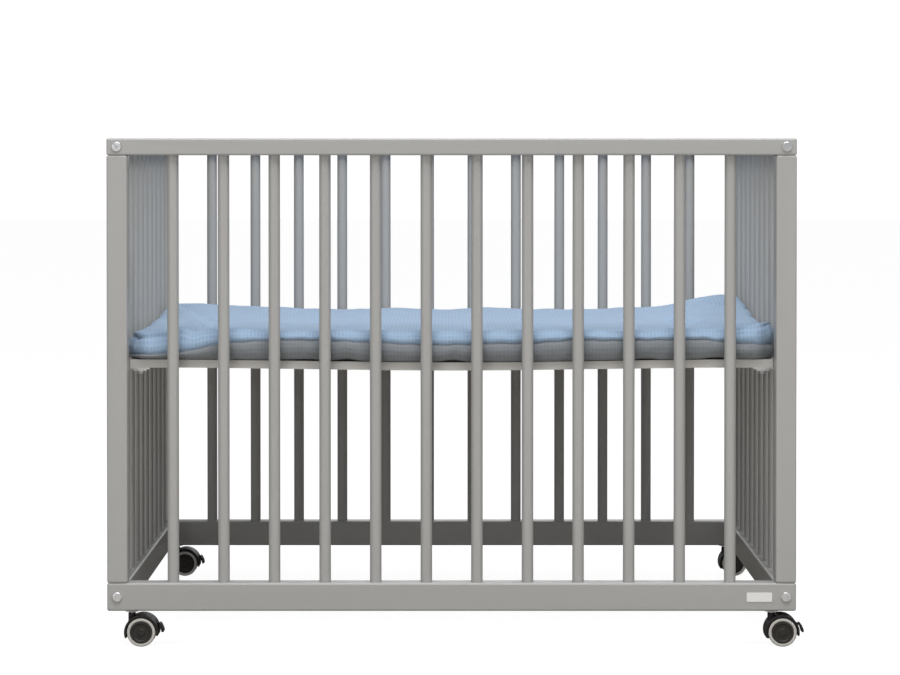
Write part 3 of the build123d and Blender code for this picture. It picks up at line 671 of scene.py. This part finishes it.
front_seam = np.array([
    (-0.474, 0.4265), (-0.44, 0.427), (-0.40, 0.430), (-0.38, 0.434), (-0.34, 0.443), (-0.30, 0.447),
    (-0.24, 0.449), (-0.18, 0.448), (-0.10, 0.444), (-0.03, 0.441), (0.03, 0.442), (0.06, 0.444),
    (0.11, 0.4435), (0.18, 0.449), (0.24, 0.448), (0.30, 0.449), (0.37, 0.450), (0.41, 0.445), (0.474, 0.441),
])
left_seam = np.array([(-0.374, 0.4265), (-0.20, 0.434), (0.0, 0.440), (0.20, 0.443), (0.374, 0.445)])
right_seam = np.array([(-0.374, 0.441), (-0.20, 0.446), (0.0, 0.449), (0.19, 0.456), (0.374, 0.449)])
rear_seam = np.array([(-0.474, 0.445), (-0.2, 0.442), (0.0, 0.445), (0.25, 0.443), (0.474, 0.449)])
right_rise = np.array([
    (-0.374, 0.010), (-0.26, 0.004), (-0.14, 0.004), (0.0, 0.013), (0.10, 0.024), (0.185, 0.030),
    (0.27, 0.024), (0.374, 0.016),
])
left_crease = [
    (-0.457, 0.321), (-0.428, 0.218), (-0.400, 0.06), (-0.375, -0.099), (-0.370, -0.25), (-0.384, -0.384),
]
hump_y = 0.185
pleat_centre_x = 0.56
resting_top_z = 0.4605
right_crease = [(0.345, -0.03), (0.372, -0.14), (0.398, -0.22), (0.43, -0.29)]


def along_curve(table, value):
    """Reads a height off a table of places and heights."""
    return np.interp(value, table[:, 0], table[:, 1])


def ease(low, high, value):
    """0 below low, 1 above high and a smooth rise between them."""
    share = np.clip((value - low) / (high - low), 0, 1)
    return share * share * (3 - 2 * share)


def hill(distance, width):
    """1 at no distance, falling away smoothly over a width."""
    return np.exp(-(distance / width) ** 2)


def soft_waves(points, length, seed, count=14):
    """A smooth uneven field of about -1 to 1: plane waves of about one length in seeded directions."""
    random = np.random.default_rng(seed)
    directions = random.normal(size=(count, points.shape[1]))
    directions /= np.linalg.norm(directions, axis=1, keepdims=True)
    directions *= 2 * np.pi / length * random.uniform(0.7, 1.5, (count, 1))
    phases = random.uniform(0, 2 * np.pi, count)
    return np.sin(points @ directions.T + phases).sum(axis=1) / np.sqrt(2 * count)


def gap_to_line(x, y, corners):
    """Distance from each point to a line through corners, and which side of it the point is on."""
    nearest = np.full(len(x), 9.0)
    side = np.zeros(len(x))
    for (x1, y1), (x2, y2) in zip(corners, corners[1:]):
        run_x, run_y = x2 - x1, y2 - y1
        share = np.clip(((x - x1) * run_x + (y - y1) * run_y) / (run_x ** 2 + run_y ** 2), 0, 1)
        gap = np.hypot(x - x1 - share * run_x, y - y1 - share * run_y)
        turn = np.sign((x - x1) * run_y - (y - y1) * run_x)
        side = np.where(gap < nearest, turn, side)
        nearest = np.minimum(gap, nearest)
    return nearest, side


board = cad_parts["floor_board"]
board_x = np.linspace(-half_length, half_length, 41)
board_z = np.array([board.ray_cast(Vector((x, 0, 1)), Vector((0, 0, -1)))[1].z for x in board_x])
print("board top from", round(board_z.max(), 4), "at its ends to", round(board_z.min(), 4), "in the middle")


# %% Mat heights
def top_height(x, y):
    """Height of the blue top over the whole mat."""
    plan = np.stack([x, y], axis=1)
    z = resting_top_z + 0.0020 * soft_waves(plan, 0.16, 3) + 0.0010 * soft_waves(plan, 0.06, 4)
    z += 0.0068 * hill(y + half_width - 0.012, 0.017)
    from_edge = np.minimum(half_width - np.abs(y), half_length - np.abs(x))
    z -= 0.0036 * hill(from_edge, 0.006)
    z += 0.0060 * ease(0.10, 0.26, y) * hill(x + half_length, 0.16)
    from_right = half_length - x
    z += along_curve(right_rise, y) * hill(from_right, 0.045 + 0.075 * hill(y - hump_y, 0.16))
    # Pleats fan out from the hump at the right end
    angle = np.arctan2(y - hump_y, x - pleat_centre_x)
    z += 0.0022 * np.sin(angle * 26) * hill(from_right - 0.03, 0.07) * hill(y - 0.12, 0.24)
    # The slack front left corner rolls over without an edge
    z -= 0.0065 * hill(y + half_width - 0.006, 0.02) * ease(-0.37, -0.42, x)
    z -= 0.0040 * hill(x + half_length, 0.016) * ease(0.12, -0.05, y)
    # Sewn creases, each with a soft roll along one side
    gap, turn = gap_to_line(x, y, left_crease)
    z += -0.0065 * hill(gap, 0.008) + 0.0055 * hill(gap - 0.016, 0.016) * (turn > 0)
    gap, turn = gap_to_line(x, y, right_crease)
    z += -0.0055 * hill(gap, 0.009) + 0.0050 * hill(gap - 0.018, 0.018) * (turn < 0)
    z += 0.0012 * soft_waves(plan, 0.022, 6) * ease(0.40, 0.45, np.abs(x))
    return z


def seam_height(x, y):
    """Height of the seam, side by side: the front runs on to the corners."""
    z = np.full(len(x), seam_z)
    z = np.where(on_rear, along_curve(rear_seam, x), z)
    z = np.where(on_left, along_curve(left_seam, y), z)
    z = np.where(on_right, along_curve(right_seam, y), z)
    z = np.where(on_front, along_curve(front_seam, x), z)
    return z + 0.0007 * np.sin(x * 190) * on_side


def bottom_height(x, y):
    """The underside lies on the board and lifts a little in a few places along its edge."""
    lift = 0.0062 * hill(x + 0.154, 0.012) + 0.0062 * hill(x - 0.001, 0.011)
    lift += 0.0036 * hill(x - 0.286, 0.012) + 0.0042 * hill(x - 0.389, 0.014) + 0.0028 * hill(x + 0.215, 0.03)
    near_edge = ease(half_width - 0.03, half_width, np.abs(y))
    return np.interp(x, board_x, board_z) + 0.0007 + near_edge * (0.0006 + lift * (y < 0) + 0.0012 * (y > 0))


def held_by_slats(along, slats):
    """0 at each slat and 1 half way between two, with a tight crease beside each slat."""
    pitch = slats[1] - slats[0]
    return np.abs(np.sin(np.pi * (along - slats[0]) / pitch)) ** 0.7


x, y, z = blank_points.T
below = z < seam_z + 1e-6
share_up = np.where(below, (z - mat_floor) / (seam_z - mat_floor), (z - seam_z) / (mat_top - seam_z))
low_z = np.where(below, bottom_height(x, y), seam_height(x, y))
high_z = np.where(below, seam_height(x, y), top_height(x, y))
settled = blank_points.copy()
settled[:, 2] = low_z + (high_z - low_z) * share_up
print("settled heights from", round(settled[:, 2].min(), 4), "to", round(settled[:, 2].max(), 4))


# %% [markdown]
# ## The mat: its sides
# Each cover bellies out between its edges, tucks in at the seam and rolls over at the top and bottom. The
# belly is one curve of the height in a cover, and the slats hold it back. The same reach works for all four
# sides, and it fades out over 60 mm towards the middle of the mat, so the top isn't torn.

# %% Mat sides
reach_y = slat_touch_y + between_slats * held_by_slats(x, long_slats)
reach_y += (post_touch_y - reach_y) * ease(0.448, 0.468, np.abs(x))
reach_x = slat_touch_x + between_slats * held_by_slats(y, end_slats)
reach_x += (post_touch_x - reach_x) * ease(0.345, 0.365, np.abs(y))

side_fade = 0.06
belly = np.sin(np.pi * share_up) ** 0.6
grey_tuck = 0.0052 * (1 - share_up) ** 3
blue_tuck = 0.0058 * share_up ** 3
tuck = np.where(below, grey_tuck, blue_tuck) + 0.0030 * (1 - belly) * ease(0, 0.5, belly + 0.5)
seam_tuck = 0.0034 * hill(z - seam_z, 0.0022)
loose_corner = ease(-0.385, -0.43, x) * (y < 0)
tuck += seam_tuck + loose_corner * 0.004 * np.where(below, 0.2, share_up)
pucker = 0.0016 * soft_waves(blank_points * (1, 1, 0.45), 0.040, 7)
pucker = pucker + 0.0008 * soft_waves(blank_points, 0.017, 8)
tuck -= pucker * belly * on_side

for axis, half, reach in ((0, half_length, reach_x), (1, half_width, reach_y)):
    outward = np.sign(blank_points[:, axis])
    near = ease(half - side_fade, half, np.abs(blank_points[:, axis]))
    at_side = np.abs(np.abs(blank_points[:, axis]) - half) < edge
    target = (reach - half) * near - tuck * at_side
    settled[:, axis] += outward * target
side_swell, top_swell = 0.35, 0.55
settled += swell * np.where(on_side, side_swell, top_swell)[:, None]
set_points(mat.data, settled)
print("mat reaches x", round(np.abs(settled[:, 0]).max(), 4), "and y", round(np.abs(settled[:, 1]).max(), 4))


# %% Mat subdivision and clearance
def clear_of_slats(points, slats, along, across, centre, keep):
    """Moves points that are nearer to a slat than its radius and a gap back towards the middle of the mat."""
    for slat in slats:
        sideways = points[:, along] - slat
        for direction in (-1, 1):
            near = (np.abs(sideways) < keep) & (points[:, across] * direction > 0)
            limit = centre - np.sqrt(np.maximum(keep ** 2 - sideways ** 2, 0))
            too_far = near & (points[:, across] * direction > limit)
            points[too_far, across] = direction * limit[too_far]


deselect_all()
mat.select_set(True)
bpy.context.view_layer.objects.active = mat
finer = mat.modifiers.new("finer", "SUBSURF")
finer.levels = 1
finer.render_levels = 1
bpy.ops.object.modifier_apply(modifier=finer.name)
final_points = get_points(mat.data)
slat_gap = 0.0004
board_gap = 0.0003
clear_of_slats(final_points, long_slats, 0, 1, -(front_low.y + front_high.y) / 2, slat_radius + slat_gap)
clear_of_slats(final_points, end_slats, 1, 0, (right_low.x + right_high.x) / 2, slat_radius + slat_gap)
board_under = np.interp(final_points[:, 0], board_x, board_z) + board_gap
final_points[:, 2] = np.maximum(final_points[:, 2], board_under)
set_points(mat.data, final_points)
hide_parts("mat_base", "mat_cover")
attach(mat, "mat")
print("mat finished with", len(mat.data.polygons), "faces")
